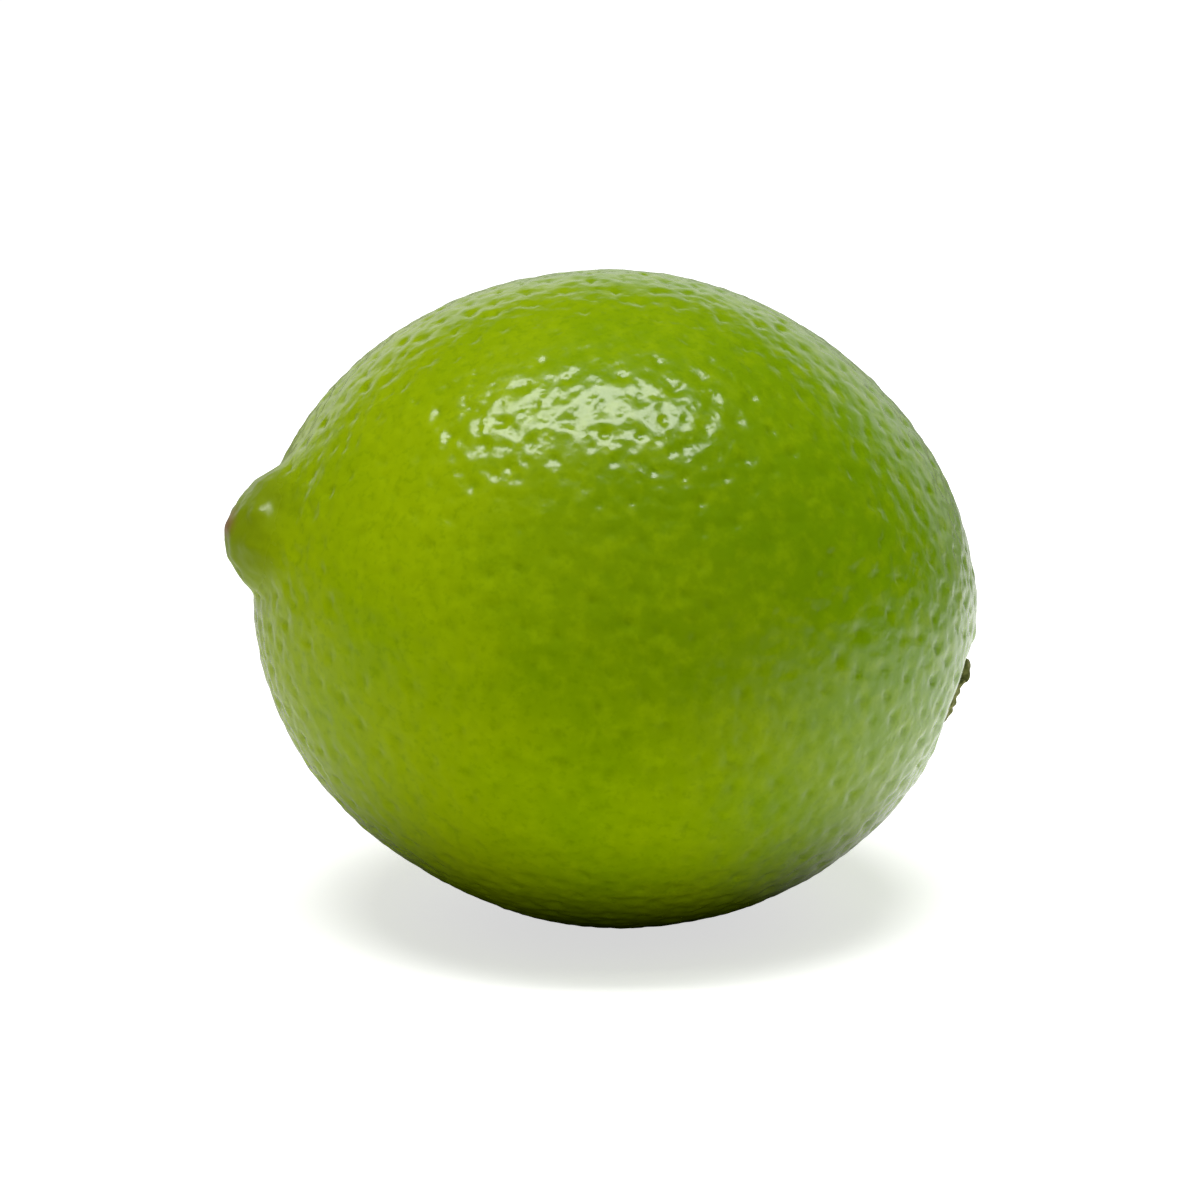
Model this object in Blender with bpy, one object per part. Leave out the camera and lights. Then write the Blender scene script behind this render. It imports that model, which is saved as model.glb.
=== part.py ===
"""A whole picked lime lying on the flat spot on its belly, with the dried button left in its stem dimple.

Metres, +Z up. The blossom end with its nipple points to -X and a little up, the stem end to +X. The origin is on
the table, under the middle of the fruit. Each shape is worked out in the fruit's own axes, with +X from the
nipple to the stem and the origin in the middle of the body, and one empty leans and lifts them all.
"""

import math

import bmesh
import bpy
from mathutils import Matrix, Vector

# Driving dimensions
GIRTH = 0.054  # across the middle
BODY_LENGTH = 0.0596  # between the ends of the body, without the nipple
STEM_TAPER = 0.025  # share by which the stem half grows slimmer towards its end
LEAN = math.radians(10.9)  # the nipple end lies this much higher
FLAT_DEPTH = 0.00038  # how much of the belly the resting spot takes off

NIPPLE_OFFSET = Vector((0, 0, 0.0014))  # from the fruit's axis
NIPPLE_RADIUS = 0.00545
NIPPLE_HEIGHT = 0.00305
NIPPLE_POWER = 2.35  # 2 is a parabola, more is a blunter dome
NIPPLE_SPAN = 0.0164  # nothing rises further than this from the nipple's foot
CREASE = 0.0006  # softness of the fold round the nipple's foot

STEM_OFFSET = Vector((0, -0.0031, -0.0031))  # from the fruit's axis
SEAT_RADIUS = 0.0035  # flat floor of the stem dimple
DIMPLE_RADIUS = 0.0056
DIMPLE_SPAN = 0.0112  # nothing sinks further than this from the dimple's middle
DIMPLE_DEPTH = 0.0009
BUTTON_RADIUS = 0.0032
BUTTON_TOP_RADIUS = 0.00256
BUTTON_THICKNESS = 0.0008
BUTTON_LOBES = 5
SIDES_PER_LOBE = 8
LOBE_DEPTH = 0.00035
SCAR_RADIUS = 0.0013
SCAR_DEPTH = 0.00025
GAP = 0.0003  # between the button and the floor of the dimple

SEGMENTS = 64  # round the fruit's axis
RINGS = 52  # from the nipple to the stem
CROWDING = 0.38  # how much closer the rings lie at the two ends

# Slow swellings and flats of the peel: (place in the fruit's axes, reach, height)
SWELLINGS = (
    (Vector((0.0293, -0.001, 0.0046)), 0.0045, 0.00045),  # shoulder above the stem
    (Vector((0.0282, -0.002, -0.0095)), 0.0060, -0.00035),  # flat below the stem
    (Vector((-0.0285, 0, 0.0085)), 0.0042, -0.0002),  # hollow above the nipple
    (Vector((0.004, -0.012, 0.0235)), 0.0160, 0.00015),
    (Vector((-0.010, 0.024, -0.006)), 0.0150, -0.0002),
)

HALF_LENGTH = BODY_LENGTH / 2
HALF_GIRTH = GIRTH / 2


def clear_scene():
    for obj in list(bpy.data.objects):
        bpy.data.objects.remove(obj)


def material(name, colour, roughness):
    made = bpy.data.materials.new(name)
    made.use_nodes = True
    made.diffuse_color = (*colour, 1)
    shader = made.node_tree.nodes["Principled BSDF"]
    shader.inputs["Base Color"].default_value = (*colour, 1)
    shader.inputs["Roughness"].default_value = roughness
    shader.inputs["Metallic"].default_value = 0
    return made


def peel():
    return material("peel", (0.19, 0.29, 0.012), 0.35)


def dried_calyx():
    return material("dried_calyx", (0.13, 0.12, 0.05), 0.8)


def smooth_step(share):
    share = min(max(share, 0), 1)
    return share * share * (3 - 2 * share)


def on_body(toward):
    """Where a line from the middle of the fruit meets the plain body, and the body's normal there."""
    stretch = Vector((HALF_LENGTH, HALF_GIRTH, HALF_GIRTH))
    point = Vector(a / s for a, s in zip(toward, stretch)).normalized()
    normal = Vector(a / s for a, s in zip(point, stretch)).normalized()
    return Vector(a * s for a, s in zip(point, stretch)), normal


def end_of(side, offset):
    """The body's point and normal nearest one end, side -1 at the nipple and 1 at the stem."""
    return on_body(Vector((side * HALF_LENGTH, 0, 0)) + offset)


def from_axis(point, foot, axis):
    """How far a point is from the line through foot along axis."""
    reach = point - foot
    return (reach - reach.dot(axis) * axis).length


def nipple_rise(point):
    """Height of the nipple over the body: a blunt dome that runs out softly at its foot."""
    foot, axis = end_of(-1, NIPPLE_OFFSET)
    if (point - foot).length > NIPPLE_SPAN:
        return 0
    share = from_axis(point, foot, axis) / NIPPLE_RADIUS
    dome = NIPPLE_HEIGHT * (1 - share**NIPPLE_POWER)
    return (dome + math.hypot(dome, CREASE)) / 2


def swelling_rise(point):
    return sum(
        height * math.exp(-(((point - place).length / reach) ** 2))
        for place, reach, height in SWELLINGS
    )


def into_dimple(point):
    """The point moved down to the flat floor of the stem dimple, or part of the way on its sloping side."""
    foot, axis = end_of(1, STEM_OFFSET)
    if (point - foot).length > DIMPLE_SPAN:
        return point
    outside = from_axis(point, foot, axis) - SEAT_RADIUS
    share = 1 - smooth_step(outside / (DIMPLE_RADIUS - SEAT_RADIUS))
    to_floor = (foot - point).dot(axis) - DIMPLE_DEPTH
    return point + share * to_floor * axis


def peel_point(direction):
    point, normal = on_body(direction)
    raised = point + (nipple_rise(point) + swelling_rise(point)) * normal
    slimmer = 1 - STEM_TAPER * max(point.x / HALF_LENGTH, 0) ** 2
    raised.yz *= slimmer
    return into_dimple(raised)


def crowd_rings(direction):
    """Moves a direction along its meridian, so that the rings crowd towards both ends of the X axis."""
    angle = math.acos(min(max(direction.x, -1), 1))
    crowded = angle - CROWDING * math.sin(2 * angle)
    across = Vector((0, direction.y, direction.z))
    if across.length == 0:
        return direction
    return Vector((math.cos(crowded), 0, 0)) + math.sin(crowded) * across.normalized()


def mesh_object(name, form, finish, collection):
    mesh = bpy.data.meshes.new(name)
    form.to_mesh(mesh)
    form.free()
    mesh.materials.append(finish)
    mesh.shade_smooth()
    obj = bpy.data.objects.new(name, mesh)
    collection.objects.link(obj)
    return obj


def make_fruit(collection):
    """The whole fruit: a globe with its poles on the X axis, each point carried out to the peel."""
    form = bmesh.new()
    poles_on_x = Matrix.Rotation(math.radians(90), 4, "Y")
    bmesh.ops.create_uvsphere(
        form, u_segments=SEGMENTS, v_segments=RINGS, radius=1, matrix=poles_on_x
    )
    for vertex in form.verts:
        vertex.co = peel_point(crowd_rings(vertex.co.normalized()))
    return mesh_object("lime_fruit", form, peel(), collection)


def make_button(collection):
    """The dried calyx: a thin disc with five lobes and the scar of the stalk sunk into its top."""
    form = bmesh.new()
    bmesh.ops.create_cone(
        form,
        cap_ends=True,
        segments=BUTTON_LOBES * SIDES_PER_LOBE,
        radius1=BUTTON_RADIUS,
        radius2=BUTTON_TOP_RADIUS,
        depth=BUTTON_THICKNESS,
    )
    for vertex in form.verts:
        turn = math.atan2(vertex.co.y, vertex.co.x)
        edge = 1 - LOBE_DEPTH / BUTTON_RADIUS * (1 - math.cos(BUTTON_LOBES * turn)) / 2
        vertex.co.x *= edge
        vertex.co.y *= edge
    top = max(form.faces, key=lambda face: face.calc_center_median().z)
    rim = BUTTON_TOP_RADIUS - SCAR_RADIUS
    bmesh.ops.inset_region(form, faces=[top], thickness=rim, use_even_offset=False)
    for vertex in top.verts:
        vertex.co.z -= SCAR_DEPTH
    foot, axis = end_of(1, STEM_OFFSET)
    middle = foot + (GAP + BUTTON_THICKNESS / 2 - DIMPLE_DEPTH) * axis
    button = mesh_object("stem_button", form, dried_calyx(), collection)
    button.location = middle
    button.rotation_euler = axis.to_track_quat("Z", "Y").to_euler()
    return button


def lean_and_lift(fruit, button):
    """Parents both pieces to one empty that leans the fruit and stands its resting spot on the origin's level."""
    lean = Matrix.Rotation(LEAN, 4, "Y")
    placed = lean @ button.rotation_euler.to_matrix().to_4x4()
    seat = lean @ button.location
    points = [lean @ vertex.co for vertex in fruit.data.vertices]
    points += [seat + placed @ vertex.co for vertex in button.data.vertices]
    low = Vector(min(point[i] for point in points) for i in range(3))
    high = Vector(max(point[i] for point in points) for i in range(3))
    holder = bpy.data.objects.new("lime_axes", None)
    fruit.users_collection[0].objects.link(holder)
    holder.empty_display_size = HALF_GIRTH
    holder.rotation_euler = lean.to_euler()
    holder.location = -(low + high) / 2
    holder.location.z = -low.z - FLAT_DEPTH
    for piece in (fruit, button):
        piece.parent = holder


def cut_resting_spot(fruit, cutters):
    """Takes off what hangs below the table, with a box whose top lies on it."""
    side = BODY_LENGTH
    form = bmesh.new()
    bmesh.ops.create_cube(form, size=side, matrix=Matrix.Translation((0, 0, -side / 2)))
    table = mesh_object("table_cutter", form, dried_calyx(), cutters)
    table.hide_render = True
    table.display_type = "WIRE"
    cut = fruit.modifiers.new("resting_spot", "BOOLEAN")
    cut.operation = "DIFFERENCE"
    cut.solver = "EXACT"
    cut.object = table


def main():
    clear_scene()
    lime = bpy.data.collections.new("lime")
    cutters = bpy.data.collections.new("cutters")
    bpy.context.scene.collection.children.link(lime)
    bpy.context.scene.collection.children.link(cutters)
    fruit = make_fruit(lime)
    button = make_button(lime)
    lean_and_lift(fruit, button)
    cut_resting_spot(fruit, cutters)


main()
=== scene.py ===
# %% [markdown]
# # A lime, from its girth to its shine
#
# The subject is one whole picked lime that lies on its side. A rigid model of it comes first, as a frame
# with the real size: the fruit as one solid, and the dried button in its stem dimple. This notebook
# builds the looks round that frame, one step to a cell: the camera, the fruit's form, the pits of its oil
# glands, the button, the finishes, and last the light. The fruit lies along X, with its nipple to the
# left, and -Y is the front.

# %% The frame
import math

import bpy
import numpy as np
from mathutils import Euler, Matrix, Vector, noise
from mathutils.kdtree import KDTree


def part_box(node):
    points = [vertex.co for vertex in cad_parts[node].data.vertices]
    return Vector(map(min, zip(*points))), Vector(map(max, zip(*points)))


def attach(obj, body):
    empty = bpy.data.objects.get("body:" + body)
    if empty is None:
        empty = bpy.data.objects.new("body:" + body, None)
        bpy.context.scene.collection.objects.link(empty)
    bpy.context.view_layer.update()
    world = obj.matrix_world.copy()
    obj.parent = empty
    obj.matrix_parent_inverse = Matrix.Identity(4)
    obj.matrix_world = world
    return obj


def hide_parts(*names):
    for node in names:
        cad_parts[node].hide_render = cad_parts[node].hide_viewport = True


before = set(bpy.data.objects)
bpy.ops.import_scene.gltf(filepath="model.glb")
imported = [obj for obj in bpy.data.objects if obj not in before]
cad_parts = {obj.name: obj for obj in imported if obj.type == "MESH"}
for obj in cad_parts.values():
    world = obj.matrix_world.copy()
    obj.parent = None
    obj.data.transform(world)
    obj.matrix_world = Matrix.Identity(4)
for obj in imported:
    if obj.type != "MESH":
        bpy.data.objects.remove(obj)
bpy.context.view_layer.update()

MM = 0.001
fruit_low, fruit_high = (Vector(corner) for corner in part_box("lime_fruit"))
print("fruit", [round(side / MM, 1) for side in fruit_high - fruit_low], "mm")

# %% [markdown]
# ## Camera
#
# A fruit this size is looked at from a little above, through a long lens some way off, so that its
# outline stays true. The nipple end is turned a little towards the camera. The camera is placed by
# azimuth and elevation round the middle of the fruit, which is how one walks round a table.

# %% Camera
CAMERA_AZIMUTH = math.radians(-8.6)
CAMERA_ELEVATION = math.radians(15)
CAMERA_DISTANCE = 0.62
CAMERA_LENS_MM = 226
CAMERA_NEAREST = 0.01
AIM_OFFSET = Vector((-0.15, 0, -0.3)) * MM

aim = Vector((0, 0, fruit_high.z / 2)) + AIM_OFFSET


def toward(azimuth, elevation):
    """Unit vector from the fruit to something at this azimuth and elevation. Azimuth 0 is the front, -Y."""
    flat = math.cos(elevation)
    return Vector((math.sin(azimuth) * flat, -math.cos(azimuth) * flat, math.sin(elevation)))


camera = bpy.data.objects.new("camera", bpy.data.cameras.new("camera"))
bpy.context.scene.collection.objects.link(camera)
camera.data.lens = CAMERA_LENS_MM
camera.data.clip_start = CAMERA_NEAREST
to_camera = toward(CAMERA_AZIMUTH, CAMERA_ELEVATION)
camera.location = aim + CAMERA_DISTANCE * to_camera
camera.rotation_euler = to_camera.to_track_quat("Z", "Y").to_euler()
bpy.context.scene.camera = camera
print("camera at", [round(value, 3) for value in camera.location])

# %% [markdown]
# ## Handling points
#
# Most steps below either grab one point and pull its neighbours along, as a sculptor does, or work out a
# small move for every point at once. These helpers read and write a mesh's points as one array, and clear
# the selection first, because an operator acts on everything that is selected.


# %% Helpers for points
def only(piece):
    """Makes piece the one selected and active object."""
    bpy.ops.object.select_all(action="DESELECT")
    piece.select_set(True)
    bpy.context.view_layer.objects.active = piece


def points_of(piece):
    points = np.empty(len(piece.data.vertices) * 3)
    piece.data.vertices.foreach_get("co", points)
    return points.reshape(-1, 3)


def normals_of(piece):
    normals = np.empty(len(piece.data.vertices) * 3, np.float32)
    piece.data.vertex_normals.foreach_get("vector", normals)
    return normals.reshape(-1, 3).astype(float)


def set_points(piece, points):
    piece.data.vertices.foreach_set("co", points.ravel())
    piece.data.update()


def apply_modifier(piece, kind, **settings):
    only(piece)
    added = piece.modifiers.new(kind.lower(), kind)
    for name, value in settings.items():
        setattr(added, name, value)
    bpy.ops.object.modifier_apply(modifier=added.name)


def select_points(piece, chosen):
    """Leaves edit mode's selection as the points that the array of true and false picks."""
    only(piece)
    bpy.ops.object.mode_set(mode="EDIT")
    bpy.ops.mesh.select_mode(type="VERT")
    bpy.ops.mesh.select_all(action="DESELECT")
    bpy.ops.object.mode_set(mode="OBJECT")
    piece.data.vertices.foreach_set("select", np.asarray(chosen, bool))
    bpy.ops.object.mode_set(mode="EDIT")


def pull(piece, place, move, reach, falloff):
    """Grabs the point nearest to place and moves it, and its neighbours within reach by the falloff."""
    away = np.linalg.norm(points_of(piece) - np.array(place), axis=1)
    select_points(piece, away == away.min())
    bpy.ops.transform.translate(
        value=move,
        use_proportional_edit=True,
        proportional_edit_falloff=falloff,
        proportional_size=reach,
    )
    bpy.ops.object.mode_set(mode="OBJECT")


def relax(piece, chosen, passes):
    select_points(piece, chosen)
    bpy.ops.mesh.vertices_smooth(factor=0.5, repeat=passes)
    bpy.ops.object.mode_set(mode="OBJECT")


# %% [markdown]
# ## The fruit's body
#
# A lime is nearly an egg with two equal ends. It could be a UV sphere, but that crowds its faces at two
# poles and starves the middle, and the peel needs even, small faces all over for its pits. So it starts
# as a cube that Subdivision Surface splits into about a hundred thousand squares and Cast blows up into a
# ball. The cube is turned so that an upright edge and the corner above it, where the squares are
# smallest, look to the front. The ball is then stretched along X and slimmed a little towards the stem.

# %% Body
HALF_GIRTH = 27 * MM
HALF_LENGTH = 29.8 * MM
STEM_TAPER = 0.025
GRID_LEVELS = 7
CORNER_TURN = math.radians(36)

bpy.ops.object.select_all(action="DESELECT")
bpy.ops.mesh.primitive_cube_add(size=2 * HALF_GIRTH, rotation=(0, 0, CORNER_TURN))
lime = bpy.context.object
lime.name = lime.data.name = "lime_peel"
bpy.ops.object.transform_apply(location=True, rotation=True, scale=True)
apply_modifier(lime, "SUBSURF", levels=GRID_LEVELS, render_levels=GRID_LEVELS)
apply_modifier(lime, "CAST", cast_type="SPHERE", factor=1, size=HALF_GIRTH, use_radius_as_size=False)
bpy.ops.object.mode_set(mode="EDIT")
bpy.ops.mesh.select_all(action="SELECT")
bpy.ops.transform.resize(value=(HALF_LENGTH / HALF_GIRTH, 1, 1))
bpy.ops.object.mode_set(mode="OBJECT")

points = points_of(lime)
toward_stem = np.clip(points[:, 0] / HALF_LENGTH, 0, 1)
points[:, 1:] *= (1 - STEM_TAPER * toward_stem**2)[:, None]
set_points(lime, points)
print(len(lime.data.polygons), "squares")

# %% [markdown]
# ## Nipple, shoulder and dimple
#
# The blossom end carries a blunt nipple, and the stem end a shallow dimple with a raised shoulder on its
# upper side. Each is a pull with proportional editing. Smooth falloff gives a skirt with a soft foot,
# Inverse Square a dome, and Sphere a blunter one with a steep foot. The nipple is all three on top of
# each other. More pulls, most of them a fraction of a millimetre high, fill the fold beside the nipple on
# the front, where the peel runs into it with no crease, and take the body away from the perfect egg.
# Last, the ring round the nipple's foot is smoothed.

# %% Ends
NIPPLE_PLACE = (-0.8 * MM, 2.2 * MM)
NIPPLE_SKIRT = 0.95 * MM
NIPPLE_DOME = 1.2 * MM
NIPPLE_CAP = 1.15 * MM
SKIRT_REACH = 7.4 * MM
NIPPLE_REACH = 5.7 * MM
NIPPLE_DROOP = 0.27
NIPPLE_FOOT_RING = (4.2 * MM, 8 * MM)
NIPPLE_FOOT_PASSES = 12
STEM_PLACE = (-3.1 * MM, -3.1 * MM)
STEM_REACH = 6.0 * MM
STEM_DEPTH = 1.35 * MM


def on_body(direction):
    """Where a line from the fruit's middle meets the plain body, and the body's outward normal there."""
    stretch = (HALF_LENGTH, HALF_GIRTH, HALF_GIRTH)
    ball = Vector(part / reach for part, reach in zip(direction, stretch)).normalized()
    normal = Vector(part / reach for part, reach in zip(ball, stretch)).normalized()
    return Vector(part * reach for part, reach in zip(ball, stretch)), normal


def body_end(side, across, up):
    """The same, for a place beside one end of the axis: side is -1 at the nipple and 1 at the stem."""
    return on_body((side * HALF_LENGTH, across, up))


nipple_foot, nipple_axis = body_end(-1, *NIPPLE_PLACE)
nipple_axis = (nipple_axis - Vector((0, 0, NIPPLE_DROOP))).normalized()
nipple_top = nipple_foot.copy()
for height, reach, falloff in (
    (NIPPLE_SKIRT, SKIRT_REACH, "SMOOTH"),
    (NIPPLE_DOME, NIPPLE_REACH, "INVERSE_SQUARE"),
    (NIPPLE_CAP, NIPPLE_REACH, "SPHERE"),
):
    pull(lime, nipple_top, height * nipple_axis, reach, falloff)
    nipple_top += height * nipple_axis

stem_foot, stem_axis = body_end(1, *STEM_PLACE)
# Where each slow swelling lies from the middle, its height (below zero, a hollow) and its reach, all in mm
SWELLINGS = {
    "filled fold beside the nipple": ((-29.0, -5.6, 1.0), 0.5, 4.5),
    "filled fold over the nipple": ((-28.5, -2.0, 7.2), 0.35, 4.5),
    "hollow above the nipple": ((-28.5, 0, 10.5), -0.15, 5.0),
    "shoulder above the stem": ((29.3, -1.0, 4.6), 0.45, 6.0),
    "flat below the stem": ((28.2, -2.0, -9.5), -0.35, 9.0),
    "low rim on the near side of the dimple": ((28.9, -6.8, -3.4), -0.9, 5.5),
    "full upper shoulder": ((25.0, -4.0, 13.0), 0.25, 13.0),
    "full crown": ((-2.0, 0, 27.0), 0.15, 15.0),
    "knob on the rim of the dimple": ((29.5, -2.6, 1.7), 0.35, 1.8),
    "slack belly towards the nipple": ((-12.0, -4.0, -24.0), -0.2, 14.0),
}
for toward_place, height, reach in SWELLINGS.values():
    point, outward = on_body(toward_place)
    pull(lime, point, height * MM * outward, reach * MM, "SMOOTH")
pull(lime, stem_foot, -STEM_DEPTH * stem_axis, STEM_REACH, "SMOOTH")

from_nipple = np.linalg.norm(points_of(lime) - np.array(nipple_foot), axis=1)
foot_ring = (from_nipple > NIPPLE_FOOT_RING[0]) & (from_nipple < NIPPLE_FOOT_RING[1])
relax(lime, foot_ring, NIPPLE_FOOT_PASSES)
print("nipple to stem", round(float(np.ptp(points_of(lime)[:, 0])) / MM, 1), "mm")

# %% [markdown]
# ## Oil glands
#
# Under a lime's skin lie thousands of oil glands, and over each the peel sinks into a small round pit.
# The large ones are about 2.5 mm apart and the small ones about 1.5 mm. They are real hollows, which
# break every reflection on the fruit into glints, so they belong in the mesh. A Displace modifier with a
# cell texture would slice cells at random and leave pits of any shape, so gland centres are strewn over
# the skin instead, each at least one spacing from the next, and every point near one is pressed in. A pit
# is a narrow hollow in the middle of a wide, shallow dish, so that the skin between the glands stands up
# a little.


# %% Strewing
WIDTH_SPREAD = (0.75, 1.3)
DEPTH_SPREAD = (0.45, 1.35)
DISH_WIDTH = 0.45
PIT_STEEPNESS = 2.2


def strew(points, spacing, seed):
    """Picks points at random, none closer than spacing. A grid of cells finds the near ones."""
    cells = {}
    order = np.random.default_rng(seed).permutation(len(points))
    for index in order:
        point = points[index]
        home = tuple(int(math.floor(value / spacing)) for value in point)
        near = (
            cells.get((home[0] + i, home[1] + j, home[2] + k))
            for i in (-1, 0, 1)
            for j in (-1, 0, 1)
            for k in (-1, 0, 1)
        )
        steps = (other - point for group in near if group for other in group)
        if all(np.dot(step, step) >= spacing**2 for step in steps):
            cells.setdefault(home, []).append(point)
    return np.array([point for group in cells.values() for point in group])


def nearest(points, centres):
    """For every point, the index of its nearest centre and the distance to it."""
    tree = KDTree(len(centres))
    for index, centre in enumerate(centres):
        tree.insert(centre, index)
    tree.balance()
    found = [tree.find(point)[1:] for point in points]
    return np.array([index for index, _ in found]), np.array([away for _, away in found])


def hollow(share):
    """1 in the middle, about a tenth of that at a share of 1, and fading out beyond it."""
    return np.exp(-(share**2) * PIT_STEEPNESS)


def hollows(points, spacing, width, depth, dish, seed):
    """How far pits and dishes press each point in, and how deep in a pit it lies, from 0 to 1."""
    centres = strew(points, spacing, seed)
    which, away = nearest(points, centres)
    draw = np.random.default_rng(seed + 1)
    widths = width * draw.uniform(*WIDTH_SPREAD, len(centres))
    depths = depth * draw.uniform(*DEPTH_SPREAD, len(centres))
    inside = hollow(away / widths[which])
    basin = dish * hollow(away / (DISH_WIDTH * spacing))
    print(len(centres), "glands, at least", round(spacing / MM, 2), "mm apart")
    return depths[which] * inside + basin, inside


# %% Pits in the peel
LARGE_PITS = dict(spacing=2.4 * MM, width=0.5 * MM, depth=0.14 * MM, dish=0.085 * MM, seed=3)
SMALL_PITS = dict(spacing=1.4 * MM, width=0.42 * MM, depth=0.07 * MM, dish=0.02 * MM, seed=8)

# Unevenness of the whole skin: (height, length of its waves, seed)
BROAD_SWELL = (0.08 * MM, 14 * MM, 1)
SHORT_SWELL = (0.04 * MM, 4.5 * MM, 2)
COBBLES = (0.085 * MM, 1.0 * MM, 3)
# How far apart in the noise two seeds look
SEED_STEP = (7.3, 3.1, 5.7)


def waves(points, height, length, seed):
    """Smooth noise between minus and plus this height, whose waves are about this long."""
    shift = Vector(seed * step for step in SEED_STEP)
    return height * np.array([noise.noise(Vector(point) / length + shift) for point in points])


points = points_of(lime)
large_press, large_inside = hollows(points, **LARGE_PITS)
small_press, small_inside = hollows(points, **SMALL_PITS)
swell = waves(points, *BROAD_SWELL) + waves(points, *SHORT_SWELL)
cobble = waves(points, *COBBLES)
print("unevenness", round(float(np.ptp(swell + cobble)) / MM, 2), "mm")

# %% [markdown]
# ## Both ends of the peel
#
# Near the button the pits run out, and short furrows cross the rim of the dimple. The nipple's skin is
# tighter too: its pits are shallower, and it shrinks into small knobs and wrinkles, one of which catches
# the light of the lamp overhead. All the hollows and ridges are then added up, and every point is moved
# along its own normal.

# %% Furrows and wrinkles
PITS_NEAR_STEM = (3.5 * MM, 8 * MM)
PITS_NEAR_NIPPLE = (4 * MM, 8 * MM)
PITS_ON_NIPPLE = 0.8
UNEVEN_NEAR_STEM = (3 * MM, 9 * MM)
FURROWS = 9
FURROW_DEPTH = 0.13 * MM
FURROW_START = (3.0 * MM, 4.5 * MM)
FURROW_END = (5.5 * MM, 9.5 * MM)
FURROW_WANDER = (1.2, 6 * MM, 5)
NIPPLE_TIP = (4.5 * MM, 7 * MM)
TIP_WRINKLES = (0.12 * MM, 1.3 * MM, 6)
# Knobs on the nipple: (place, half-length, half-width, height), all in mm
KNOBS = (
    ((-31.1, -3.9, 3.7), 0.7, 0.8, 0.42),
    ((-31.2, -4.8, 1.0), 0.8, 0.6, 0.20),
    ((-31.8, -2.6, 0.4), 0.8, 0.5, 0.18),
    ((-30.2, -5.2, 2.6), 0.8, 0.5, 0.20),
    ((-31.3, -2.6, -0.9), 0.9, 0.5, 0.16),
    ((-30.9, 2.8, 3.6), 0.9, 0.6, 0.20),
    ((-31.5, 1.2, 5.2), 0.9, 0.6, 0.20),
)


def ramp(values, low, high):
    """0 below low, 1 above high and smooth between them."""
    share = np.clip((values - low) / (high - low), 0, 1)
    return share * share * (3 - 2 * share)


from_stem = points - np.array(stem_foot)
stem_away = np.linalg.norm(from_stem, axis=1)
nipple_away = np.linalg.norm(points - np.array(nipple_foot), axis=1)
off_nipple = ramp(nipple_away, *PITS_NEAR_NIPPLE)
calm = ramp(stem_away, *PITS_NEAR_STEM) * (PITS_ON_NIPPLE + (1 - PITS_ON_NIPPLE) * off_nipple)

side = stem_axis.cross(Vector((0, 0, 1))).normalized()
up = side.cross(stem_axis)
turn = np.arctan2(from_stem @ np.array(up), from_stem @ np.array(side))
furrowed = ramp(stem_away, *FURROW_START) * (1 - ramp(stem_away, *FURROW_END))
furrow = (1 + np.cos(FURROWS * turn + waves(points, *FURROW_WANDER))) / 2
furrows = FURROW_DEPTH * furrowed * furrow**2

wrinkled = waves(points, *TIP_WRINKLES) * (1 - ramp(nipple_away, *NIPPLE_TIP))
for middle, half_length, half_width, rise in KNOBS:
    offset = points / MM - np.array(middle)
    across = np.hypot(offset[:, 1], offset[:, 2]) / half_width
    wrinkled += rise * MM * np.exp(-((offset[:, 0] / half_length) ** 2) - across**2)

uneven = (swell + cobble) * ramp(stem_away, *UNEVEN_NEAR_STEM)
press = (large_press + small_press) * calm + furrows - wrinkled - uneven
points -= press[:, None] * normals_of(lime)
set_points(lime, points)
print("most pressed in", round(float(press.max()) / MM, 2), "mm")
print("most raised", round(float(-press.min()) / MM, 2), "mm")

# %% [markdown]
# ## Remembering the pits
#
# The finish will darken the pits, partly with the glands' own colour and partly with painted shade in the
# hollows, and dull them, so how deep each point lies in one is kept on the mesh, as an attribute that the
# material reads. A colour picture wrapped round the fruit could do the same, but it would need a seam.

# %% Pit attribute
SMALL_PIT_SHADE = 0.6

in_pit = np.maximum(large_inside, SMALL_PIT_SHADE * small_inside) * calm
pit = lime.data.attributes.new("pit", "FLOAT", "POINT")
pit.data.foreach_set("value", in_pit.astype(np.float32))
print("share of the skin in pits", round(float((in_pit > 0.5).mean()), 3))

# %% [markdown]
# ## Laying it down
#
# So far the fruit's axis is level. It is leaned so that the nipple end lifts, set into the rigid model's
# box, and pressed flat where it meets the table. In a script with no window, transform.rotate needs its
# centre spelled out and turns against the sign that the panel shows, so the turn is given to the mesh as
# a matrix, which can't be mistaken.

# %% Lean and rest
LEAN = math.radians(10.9)

lean = Matrix.Rotation(LEAN, 4, "Y")
lime.data.transform(lean)
points = points_of(lime)
low, high = points.min(axis=0), points.max(axis=0)
cad_low, cad_high = np.array(fruit_low), np.array(fruit_high)
lift = (cad_low + cad_high) / 2 - (low + high) / 2
lift[2] = cad_high[2] - high[2]
points += lift
points[:, 2] = np.maximum(points[:, 2], cad_low[2])
set_points(lime, points)
place = Matrix.Translation(Vector(lift)) @ lean
lime.data.shade_smooth()
print("pressed flat:", int((points[:, 2] <= cad_low[2]).sum()), "points; lift", (lift / MM).round(2))

# %% [markdown]
# ## The stem button
#
# What stays in the dimple when a lime is picked is the dried calyx: a thin disc with five blunt lobes,
# curled a little at its edge, round a corky ring with the scar of the stalk in it. It is drawn from the
# middle out: a disc, inset ring by ring, with each ring set to its own height. The lobes, the curl and
# the crumpled skin are then worked out from the angle round the middle and the distance from it.

# %% Button
BUTTON_RADIUS = 3.25 * MM
BUTTON_SIDES = 60
LOBES = 5
BLANK_THICKNESS = 0.3 * MM
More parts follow.
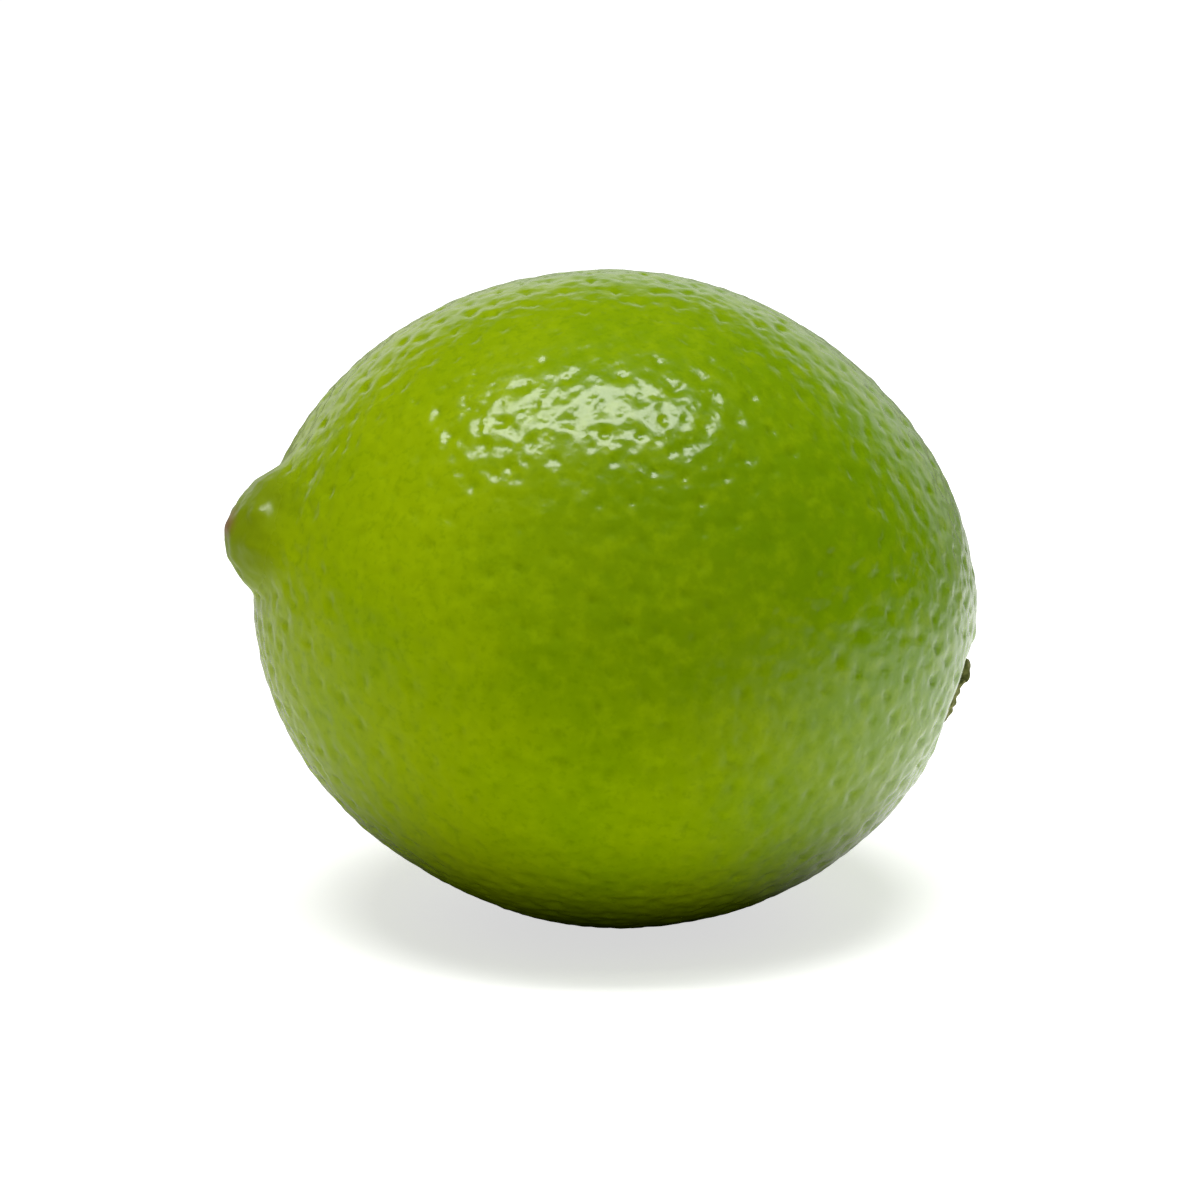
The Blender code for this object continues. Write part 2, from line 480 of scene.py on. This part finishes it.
# Rings from the edge in: (share of the radius, height in mm)
RINGS = (
    (0.97, 0.22),
    (0.86, 0.42),
    (0.66, 0.52),
    (0.54, 0.78),
    (0.44, 0.86),
    (0.35, 0.62),
    (0.22, 0.50),
    (0.08, 0.56),
)
FACING_UP = 0.9

bpy.ops.object.select_all(action="DESELECT")
bpy.ops.mesh.primitive_cylinder_add(vertices=BUTTON_SIDES, radius=BUTTON_RADIUS, depth=BLANK_THICKNESS)
button = bpy.context.object
button.name = button.data.name = "stem_calyx"


def select_top_face(piece):
    only(piece)
    bpy.ops.object.mode_set(mode="EDIT")
    bpy.ops.mesh.select_mode(type="FACE")
    bpy.ops.mesh.select_all(action="DESELECT")
    bpy.ops.object.mode_set(mode="OBJECT")
    caps = [face for face in piece.data.polygons if face.normal.z > FACING_UP]
    top = max(caps, key=lambda face: len(face.vertices))
    top.select = True
    bpy.ops.object.mode_set(mode="EDIT")


select_top_face(button)
radius_now = BUTTON_RADIUS
height_now = BLANK_THICKNESS / 2
for share, height in RINGS:
    bpy.ops.mesh.inset(thickness=radius_now - share * BUTTON_RADIUS, use_even_offset=False)
    bpy.ops.transform.translate(value=(0, 0, height * MM - height_now))
    radius_now = share * BUTTON_RADIUS
    height_now = height * MM
bpy.ops.object.mode_set(mode="OBJECT")
print("blank of the button:", len(button.data.polygons), "faces")

# %% Lobes and curl
LOBED_PART = (0.45, 1)
LOBE_BLUNTNESS = 0.7
# How deep the notches between the lobes are, as shares of the radius: the mean, and two slow changes round
# the button
NOTCH = 0.24
NOTCH_TWOFOLD = 0.10
NOTCH_THREEFOLD = 0.08
SWOLLEN_SIDE = 0.8 * MM
SWOLLEN_FROM = (0.9 * MM, 2.5 * MM)
EDGE_LUMP = 0.3 * MM
LUMP_WAVES = (1, 2.5 * MM, 11)
CRUMPLE = 0.10 * MM
CRUMPLES = 10
CRUMPLE_TWIST = 2
CRUMPLED_PART = (0.2, 0.5)
CURL = 0.25 * MM
CURLED_PART = (0.8, 1)
SUNK = 1.0 * MM

points = points_of(button)
around = np.arctan2(points[:, 1], points[:, 0]) - math.pi / 2
out = np.hypot(points[:, 0], points[:, 1]) / BUTTON_RADIUS
edge = ramp(out, *LOBED_PART)
upper_side = points[:, 2] > 0
swollen = SWOLLEN_SIDE * ramp(points[:, 1], *SWOLLEN_FROM)
lumps = EDGE_LUMP * edge * (0.5 + waves(points, *LUMP_WAVES))
points[:, 2] += (swollen + lumps) * upper_side
lobe = np.abs(np.cos(LOBES / 2 * around)) ** LOBE_BLUNTNESS
notch = NOTCH + NOTCH_TWOFOLD * np.sin(2 * around + 1) + NOTCH_THREEFOLD * np.sin(3 * around)
points[:, :2] *= (1 - notch * edge * (1 - lobe))[:, None]
crumple = CRUMPLE * ramp(out, *CRUMPLED_PART) * np.cos(CRUMPLES * around + CRUMPLE_TWIST * out)
points[:, 2] += crumple * upper_side
points[:, 2] -= CURL * ramp(out, *CURLED_PART)
set_points(button, points)
apply_modifier(button, "SUBSURF", levels=2, render_levels=2)

sit = stem_foot - SUNK * stem_axis
turned = stem_axis.to_track_quat("Z", "Y").to_matrix().to_4x4()
button.data.transform(place @ Matrix.Translation(sit) @ turned)
button.data.shade_smooth()
print("button", len(button.data.polygons), "faces at", [round(value / MM, 1) for value in place @ sit])

# %% [markdown]
# ## Writing finishes
#
# A finish is a node tree, and its maths reads best as Python. Wire wraps one socket, and adding or
# multiplying wires adds the Math nodes. Finish holds the tree, and its node method makes any other node:
# its type, its settings, then the values or wires of its sockets.


# %% Shader maths
class Wire:
    def __init__(self, finish, socket):
        self.finish = finish
        self.socket = socket

    def math(self, operation, *others):
        return self.finish.node("ShaderNodeMath", {"operation": operation}, dict(enumerate((self, *others))))

    def __add__(self, other):
        return self.math("ADD", other)

    def __mul__(self, other):
        return self.math("MULTIPLY", other)

    def __sub__(self, other):
        return self.math("SUBTRACT", other)

    def __rsub__(self, other):
        return self.math("MULTIPLY", -1).math("ADD", other)

    def ramp(self, low, high):
        settings = {"interpolation_type": "SMOOTHSTEP"}
        values = {"Value": self, "From Min": low, "From Max": high}
        return self.finish.node("ShaderNodeMapRange", settings, values)

    __radd__ = __add__
    __rmul__ = __mul__


class Finish:
    def __init__(self, name, tree=None):
        self.material = None
        if tree is None:
            self.material = bpy.data.materials.new(name)
            self.material.use_nodes = True
            tree = self.material.node_tree
        self.tree = tree
        tree.nodes.clear()

    def node(self, kind, settings=None, values=None, output=0):
        made = self.tree.nodes.new(kind)
        for name, value in (settings or {}).items():
            setattr(made, name, value)
        for name, value in (values or {}).items():
            if isinstance(value, Wire):
                self.tree.links.new(value.socket, made.inputs[name])
            else:
                made.inputs[name].default_value = value
        return Wire(self, made.outputs[output])

    def coordinates(self):
        return self.node("ShaderNodeTexCoord", output="Object")

    def noise(self, where, length, detail=2.0, roughness=0.5):
        values = {"Vector": where, "Scale": 1 / length, "Detail": detail, "Roughness": roughness}
        return self.node("ShaderNodeTexNoise", {"noise_dimensions": "3D"}, values)

    def mix(self, share, first, second):
        """Colours. The Mix node keeps its colour sockets at 6 and 7, and gives the result at 2."""
        return self.node("ShaderNodeMix", {"data_type": "RGBA"}, {0: share, 6: first, 7: second}, output=2)

    def distance(self, where, spot):
        reach = self.node("ShaderNodeVectorMath", {"operation": "SUBTRACT"}, {0: where, 1: tuple(spot)})
        return self.node("ShaderNodeVectorMath", {"operation": "LENGTH"}, {0: reach}, output="Value")

    def surface(self, shader, kind="ShaderNodeOutputMaterial"):
        """Ends the tree in this shader. A world takes another kind of output node than a material."""
        end = self.tree.nodes.new(kind)
        self.tree.links.new(shader.socket, end.inputs["Surface"])


def colour(red, green, blue):
    return (red, green, blue, 1)


print("finishes are written with", [name for name in vars(Finish) if not name.startswith("_")])

# %% [markdown]
# ## The peel
#
# A lime's peel is a waxy, saturated green, yellower where it has begun to ripen. The slow change from
# leaf green at the stem to yellow-green at the nipple and the belly comes from the place on the fruit and
# broad noise. One patch on the upper front is darker, partly a deeper green of its own and partly painted
# shade. Over it all lie fine mottling, darker flecks, pits darkened partly by the glands' own colour and
# partly by painted shade, an olive nipple with a brown scar at its tip, and olive skin round the button.
# Wax gives a tight gloss, a little duller in the pits and on the nipple. The pores that are too small for
# the mesh are a bump.

# %% Peel colours
LEAF_GREEN = colour(0.145, 0.270, 0.0)
YELLOW_GREEN = colour(0.250, 0.350, 0.0)
PALE_GREEN = colour(0.33, 0.45, 0.002)
# Darker green of the flecks, and of the pits, where it is partly the glands' own colour and partly painted
# shade
FLECK_AND_PIT_SHADE_GREEN = colour(0.090, 0.180, 0.0)
# Darker green of one patch on the upper front: partly its own colour, partly painted shade
DEEP_GREEN_AND_SHADE = colour(0.105, 0.190, 0)
OLIVE = colour(0.140, 0.195, 0.002)
SCAR_BROWN = colour(0.200, 0.080, 0.030)
BROAD_LENGTH = 22 * MM
PATCH_LENGTH = 7 * MM
MOTTLE_LENGTH = 1.6 * MM
MOTTLE_RANGE = (0.4, 0.75)
FLECK_LENGTH = 0.7 * MM
FLECK_RANGE = (0.3, 0.48)
# Ripeness runs from 0, leaf green, to 1, yellow-green: its mean, and how much it gains towards each of these
RIPE_MEAN = 0.48
RIPE_TO_NIPPLE = 0.44
RIPE_TO_BELLY = 0.1
RIPE_BY_BREADTHS = 1.1
RIPE_BY_PATCHES = 0.45
# The patch on the upper front, deeper green partly of its own and partly as painted shade
GREEN_PATCH_AND_SHADE_PLACE = Vector((2.5, -24.9, 36.4)) * MM
GREEN_PATCH_AND_SHADE_REACH = (5 * MM, 24 * MM)
GREEN_PATCH_AND_SHADE_RAGGED = 8 * MM
# How much of each colour goes over the ones below it
GREEN_PATCH_AND_SHADE_SHARE = 0.65
MOTTLE_SHARE = 0.26
FLECK_SHARE = 0.22
PIT_GLAND_AND_SHADE_SHARE = 0.2

peel = Finish("peel")
where = peel.coordinates()
along = peel.node("ShaderNodeSeparateXYZ", values={"Vector": where})
height = Wire(peel, along.socket.node.outputs["Z"])
broad = peel.noise(where, BROAD_LENGTH, 2)
patches = peel.noise(where, PATCH_LENGTH, 3)
mottle = peel.noise(where, MOTTLE_LENGTH, 3, 0.6)
fleck = peel.noise(where, FLECK_LENGTH, 2, 0.6)
pit_depth = peel.node("ShaderNodeAttribute", {"attribute_name": "pit"}, output="Fac")

ripeness = RIPE_MEAN - along * (RIPE_TO_NIPPLE / HALF_LENGTH)
ripeness = ripeness - (height - HALF_GIRTH) * (RIPE_TO_BELLY / HALF_GIRTH)
ripeness = ripeness + (broad - 0.5) * RIPE_BY_BREADTHS + (patches - 0.5) * RIPE_BY_PATCHES
skin = peel.mix(ripeness.ramp(0.0, 1.0), LEAF_GREEN, YELLOW_GREEN)
# Painted shade, with a deeper green of its own, on one patch of the upper front
ragged = peel.distance(where, GREEN_PATCH_AND_SHADE_PLACE) + (patches - 0.5) * GREEN_PATCH_AND_SHADE_RAGGED
skin = peel.mix((1 - ragged.ramp(*GREEN_PATCH_AND_SHADE_REACH)) * GREEN_PATCH_AND_SHADE_SHARE, skin, DEEP_GREEN_AND_SHADE)
skin = peel.mix(mottle.ramp(*MOTTLE_RANGE) * MOTTLE_SHARE, skin, PALE_GREEN)
skin = peel.mix((1 - fleck.ramp(*FLECK_RANGE)) * FLECK_SHARE, skin, FLECK_AND_PIT_SHADE_GREEN)
# Painted shade in the pits, on top of the glands' own darker colour
skin = peel.mix(pit_depth * PIT_GLAND_AND_SHADE_SHARE, skin, FLECK_AND_PIT_SHADE_GREEN)
print("peel:", len(peel.tree.nodes), "nodes for the colour of the sides")

# %% Colours of both ends
NIPPLE_RAGGED = 3 * MM
NIPPLE_OLIVE = (4 * MM, 9 * MM)
NIPPLE_SHARE = 0.75
SCAR_REACH = (0.6 * MM, 2.2 * MM)
SCAR_SHARE = 0.8
BUTTON_RAGGED = 2 * MM
BUTTON_OLIVE = (3 * MM, 5.2 * MM)
BUTTON_SHARE = 0.5

from_tip = peel.distance(where, place @ nipple_top) + (patches - 0.5) * NIPPLE_RAGGED
on_nipple = 1 - from_tip.ramp(*NIPPLE_OLIVE)
skin = peel.mix(on_nipple * NIPPLE_SHARE, skin, OLIVE)
skin = peel.mix((1 - from_tip.ramp(*SCAR_REACH)) * SCAR_SHARE, skin, SCAR_BROWN)
from_button = peel.distance(where, place @ stem_foot) + (patches - 0.5) * BUTTON_RAGGED
skin = peel.mix((1 - from_button.ramp(*BUTTON_OLIVE)) * BUTTON_SHARE, skin, OLIVE)
print("scar at", [round(value / MM, 1) for value in place @ nipple_top])

# %% Peel gloss
WAX_ROUGHNESS = 0.185
PATCHY_WAX = 0.1
DULL_PITS = 0.05
DULL_NIPPLE = 0.12
WAX_IOR = 1.45
PORE_LENGTH = 0.8 * MM
PORE_RANGE = (0.0, 0.6)
GRAIN_LENGTH = 0.35 * MM
GRAIN_SHARE = 0.3
PORE_DEPTH = 0.02 * MM

gloss = WAX_ROUGHNESS + (patches - 0.4) * PATCHY_WAX + pit_depth * DULL_PITS + on_nipple * DULL_NIPPLE
pores = peel.node("ShaderNodeTexVoronoi", {"feature": "F1"}, {"Vector": where, "Scale": 1 / PORE_LENGTH})
grain = peel.noise(where, GRAIN_LENGTH, 2)
pore_bump = pores.ramp(*PORE_RANGE) + grain * GRAIN_SHARE
bump = peel.node("ShaderNodeBump", values={"Strength": 1.0, "Distance": PORE_DEPTH, "Height": pore_bump})
wax = {"Base Color": skin, "Roughness": gloss, "IOR": WAX_IOR, "Specular IOR Level": 0.5, "Normal": bump}
peel.surface(peel.node("ShaderNodeBsdfPrincipled", values=wax))
lime.data.materials.clear()
lime.data.materials.append(peel.material)
print("peel:", len(peel.tree.nodes), "nodes in all")

# %% [markdown]
# ## The dried calyx
#
# The button is dead, dry tissue: dark olive-brown at its lobes, paler and corky in the middle, with no
# shine.

# %% Calyx finish
DARK_BARK = colour(0.080, 0.096, 0.020)
PALE_BARK = colour(0.25, 0.26, 0.085)
DARK_CORK = colour(0.13, 0.09, 0.045)
PALE_CORK = colour(0.33, 0.27, 0.15)
BARK_RANGE = (0.3, 0.75)
CORK_RANGE = (0.3, 0.7)
STREAK_LENGTH = 0.5 * MM
SPOT_LENGTH = 1.8 * MM
CORK_RAGGED = 0.8 * MM
CORK_REACH = (1.0 * MM, 2.0 * MM)
CRUMBLE_STRENGTH = 0.7
CRUMBLE_DEPTH = 0.1 * MM
DRY_ROUGHNESS = 0.85

calyx = Finish("dried_calyx")
where = calyx.coordinates()
streak = calyx.noise(where, STREAK_LENGTH, 4, 0.65)
spots = calyx.noise(where, SPOT_LENGTH, 2)
from_middle = calyx.distance(where, place @ sit) + (spots - 0.5) * CORK_RAGGED
bark = calyx.mix(streak.ramp(*BARK_RANGE), DARK_BARK, PALE_BARK)
cork = calyx.mix(streak.ramp(*CORK_RANGE), DARK_CORK, PALE_CORK)
dry = calyx.mix(from_middle.ramp(*CORK_REACH), cork, bark)
crumble = calyx.node(
    "ShaderNodeBump",
    values={"Strength": CRUMBLE_STRENGTH, "Distance": CRUMBLE_DEPTH, "Height": streak},
)
tissue = {"Base Color": dry, "Roughness": DRY_ROUGHNESS, "Normal": crumble}
calyx.surface(calyx.node("ShaderNodeBsdfPrincipled", values=tissue))
button.data.materials.clear()
button.data.materials.append(calyx.material)
print("dried calyx:", len(calyx.tree.nodes), "nodes")

# %% [markdown]
# ## The floor
#
# The setting is a white sweep: a pale, matt floor that fades into pure white with distance, so no horizon
# shows. A real one also does two jobs that are done apart here, since each wants its own strength. The
# wax mirrors it, so to a mirrored ray the floor is a soft glow instead, dark close under the fruit and
# brightest on the back and the right. And it throws light up at the belly, which the lamps of the next
# step do. For that the floor is black to all rays but the camera's, and Cycles isn't to look for it as a
# lamp.

# %% Floor
FLOOR_SIZE = 6
FLOOR_DROP = 0.02 * MM
SHOWN_PAINT = colour(0.86, 0.86, 0.86)
SHOWN_GLOW = 0.65
FADE_TO_WHITE = (0.16, 0.6)
# The mirrored glow: its gain to the right, where it starts on the way to the back, its inner and outer edge
MIRRORED_TO_RIGHT = 0.56
MIRRORED_SLANT = 0.3
MIRRORED_FROM_FRONT = (-1.02, 0.05)
MIRRORED_INNER = (0.013, 0.045)
MIRRORED_OUTER = (0.07, 0.26)
MIRRORED_LOSS = 0.75

bpy.ops.object.select_all(action="DESELECT")
bpy.ops.mesh.primitive_plane_add(size=FLOOR_SIZE, location=(0, 0, -FLOOR_DROP))
floor = bpy.context.object
floor.name = "floor"
sweep = Finish("sweep")
where = sweep.coordinates()
away = sweep.distance(where, (0, 0, 0))
axes = sweep.node("ShaderNodeSeparateXYZ", values={"Vector": where})
to_right = axes.math("DIVIDE", away)
to_back = Wire(sweep, axes.socket.node.outputs["Y"]).math("DIVIDE", away)
is_camera = sweep.node("ShaderNodeLightPath", output="Is Camera Ray")
is_glossy = sweep.node("ShaderNodeLightPath", output="Is Glossy Ray")

paint = sweep.mix(is_camera, colour(0, 0, 0), SHOWN_PAINT)
matt = sweep.node("ShaderNodeBsdfDiffuse", values={"Color": paint})
glow = sweep.node("ShaderNodeEmission", values={"Strength": is_camera * SHOWN_GLOW})
shown = sweep.node("ShaderNodeAddShader", values={0: matt, 1: glow})

around_fruit = (to_back + to_right * MIRRORED_SLANT).ramp(*MIRRORED_FROM_FRONT)
with_distance = away.ramp(*MIRRORED_INNER) * (1 - away.ramp(*MIRRORED_OUTER) * MIRRORED_LOSS)
mirrored = (to_right * MIRRORED_TO_RIGHT + 1.0) * around_fruit * with_distance
mirror_glow = sweep.node("ShaderNodeEmission", values={"Strength": mirrored})

near_floor = sweep.node("ShaderNodeMixShader", values={0: is_glossy, 1: shown, 2: mirror_glow})
white = sweep.node("ShaderNodeEmission", values={"Strength": 1.0})
fade = away.ramp(*FADE_TO_WHITE) * is_camera
sweep.surface(sweep.node("ShaderNodeMixShader", values={0: fade, 1: near_floor, 2: white}))
sweep.material.cycles.emission_sampling = "NONE"
floor.data.materials.append(sweep.material)
print("floor", FLOOR_SIZE, "m across,", len(sweep.tree.nodes), "nodes")

# %% [markdown]
# ## Lamps
#
# One wide softbox hangs overhead, a little to the front and left, and makes the broad highlight on the
# top of the fruit. A second one overhead and a low one at the front left light its face. Four flat lamps
# that lie on the floor round the fruit and face up are the light that a white floor throws back. All but
# the first light the peel only: they are hidden from the wax's mirror, and from the sampling that would
# bring them back into it as a haze.


# %% Lamps
KEY_PLACE = (-0.05, -0.085, 0.65)
KEY_TURN = Euler((0, 0, math.radians(-8)))
KEY_SIZE = (0.54, 0.2)
KEY_RADIANCE = 11.0
FILL_DISTANCE = 0.9
# Fills: (azimuth, elevation, width, depth, radiance)
TOP_FILL = (0, 80, 0.6, 0.6, 3.0)
LOW_FILL = (-30, 6, 1.0, 0.16, 1.2)
# The lamps on the floor: how bright and high, and how far from the middle their outer and inner edges lie
UPWARDS = Euler((math.pi, 0, 0))
BOUNCE = 1.6
BOUNCE_HEIGHT = 1 * MM
BOUNCE_OUTER = 0.32
BOUNCE_INNER_X = 0.03
BOUNCE_INNER_Y = 0.028


def softbox(name, place, turn, width, depth, radiance, in_gloss=True):
    """A flat lamp, as bright as a white surface of this radiance. It looks down if it isn't turned."""
    lamp = bpy.data.lights.new(name, "AREA")
    lamp.shape = "RECTANGLE"
    lamp.size = width
    lamp.size_y = depth
    lamp.energy = radiance * math.pi * width * depth
    holder = bpy.data.objects.new(name, lamp)
    bpy.context.scene.collection.objects.link(holder)
    holder.location = place
    holder.rotation_euler = turn
    holder.visible_camera = False
    holder.visible_glossy = in_gloss
    lamp.cycles.use_multiple_importance_sampling = in_gloss


def fill(name, azimuth, elevation, width, depth, radiance):
    """A softbox on a ball round the fruit, turned to it, that leaves no highlight."""
    outward = toward(math.radians(azimuth), math.radians(elevation))
    place = Vector((0, 0, HALF_GIRTH)) + FILL_DISTANCE * outward
    softbox(name, place, outward.to_track_quat("Z", "Y").to_euler(), width, depth, radiance, in_gloss=False)


softbox("key", KEY_PLACE, KEY_TURN, *KEY_SIZE, KEY_RADIANCE)
fill("top fill", *TOP_FILL)
fill("low fill", *LOW_FILL)
long_side = 2 * BOUNCE_OUTER
deep_side = BOUNCE_OUTER - BOUNCE_INNER_Y
wide_side = BOUNCE_OUTER - BOUNCE_INNER_X
short_side = 2 * BOUNCE_INNER_Y
middle_x = (BOUNCE_OUTER + BOUNCE_INNER_X) / 2
middle_y = (BOUNCE_OUTER + BOUNCE_INNER_Y) / 2
for name, x, y, width, depth in (
    ("front bounce", 0, -middle_y, long_side, deep_side),
    ("back bounce", 0, middle_y, long_side, deep_side),
    ("left bounce", -middle_x, 0, wide_side, short_side),
    ("right bounce", middle_x, 0, wide_side, short_side),
):
    softbox(name, (x, y, BOUNCE_HEIGHT), UPWARDS, width, depth, BOUNCE, in_gloss=False)
print([lamp.name for lamp in bpy.data.lights])

# %% [markdown]
# ## The room
#
# To the camera the room is plain white. To every other ray it is dark, but for a pale wall low at the
# back and a little to the right, which the wax mirrors as the pale rim along the fruit's far edge.

# %% Room
WALL_SLANT = 0.25
WALL_FROM_SIDE = (0.5, 0.88)
WALL_TOP = (0.25, 0.62)
WALL_GLOW = 0.8
ROOM_GLOW = 0.016

world = bpy.data.worlds.new("room")
world.use_nodes = True
bpy.context.scene.world = world
room = Finish("room", world.node_tree)
direction = room.node("ShaderNodeTexCoord", output="Generated")
to_right = room.node("ShaderNodeSeparateXYZ", values={"Vector": direction})
to_back = Wire(room, to_right.socket.node.outputs["Y"])
upward = Wire(room, to_right.socket.node.outputs["Z"])
is_camera = room.node("ShaderNodeLightPath", output="Is Camera Ray")
wall = (to_back + to_right * WALL_SLANT).ramp(*WALL_FROM_SIDE) * (1 - upward.ramp(*WALL_TOP))
strength = is_camera + (1 - is_camera) * (wall * WALL_GLOW + ROOM_GLOW)
background = room.node("ShaderNodeBackground", values={"Color": colour(1, 1, 1), "Strength": strength})
room.surface(background, "ShaderNodeOutputWorld")
world.cycles.sampling_method = "NONE"
bpy.context.scene.view_settings.view_transform = "Standard"
bpy.context.scene.view_settings.look = "None"
print("room:", len(world.node_tree.nodes), "nodes")

# %% [markdown]
# ## Onto the rigid body
#
# Both new pieces ride on the one rigid body and stand for the solids that they cover.

# %% Pieces
for piece, node, slot in ((lime, "lime_fruit", "peel"), (button, "stem_button", "dried_calyx")):
    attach(piece, "root")
    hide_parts(node)
